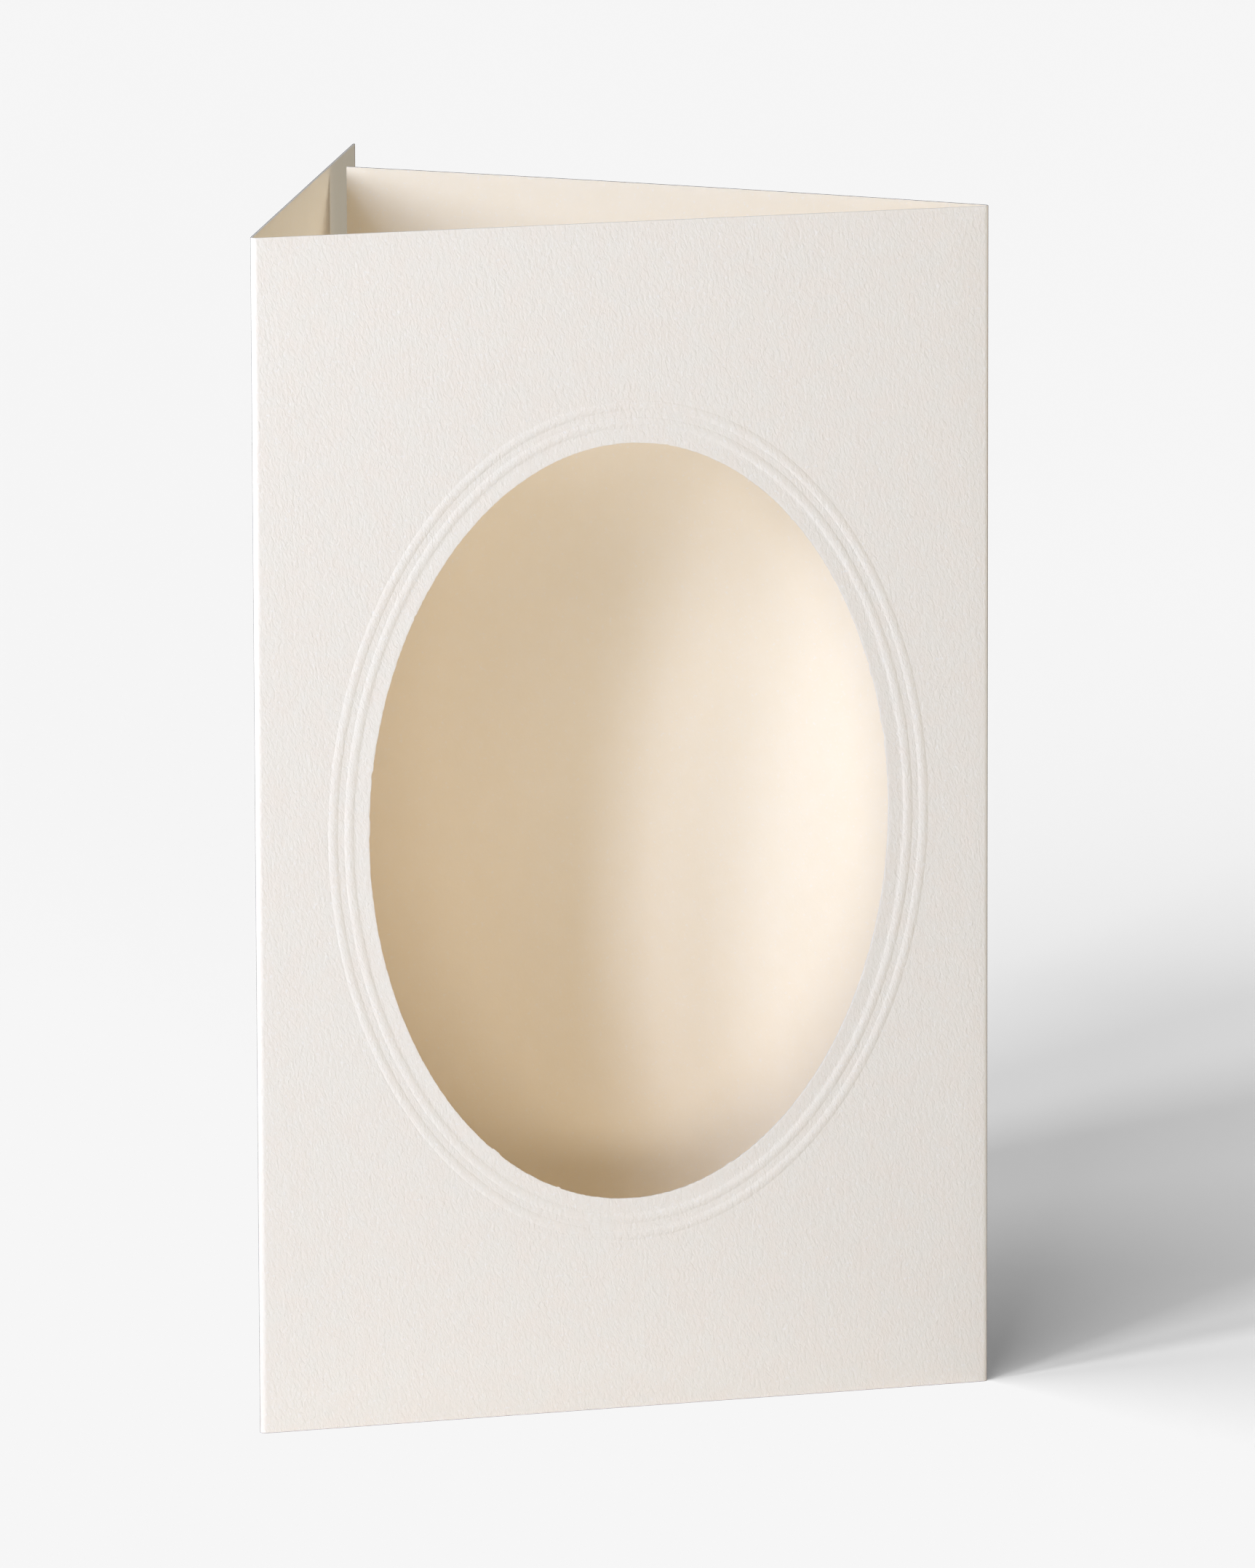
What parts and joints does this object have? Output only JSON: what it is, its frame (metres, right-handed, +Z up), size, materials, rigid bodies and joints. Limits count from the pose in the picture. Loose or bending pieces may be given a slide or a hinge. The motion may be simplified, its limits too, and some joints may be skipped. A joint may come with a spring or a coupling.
{
  "type": "greeting card",
  "caption": "Upright folded greeting card of one sheet, with a die-cut oval window in the front, raised oval beads around it, a flap and a backing panel behind the window.",
  "frame": {"origin": "centre of the card's box, on the surface that it stands on", "axes": "+Z up along the folds, +X to the right along the front panel, the front panel faces -Y"},
  "size_m": [0.1086, 0.0996, 0.17],
  "materials": {
    "card": "matte cream card, felt-marked outside, smoother and a little warmer inside, plain cut edges"
  },
  "bodies": {
    "root": {"folded_card": "card"}
  },
  "joints": []
}
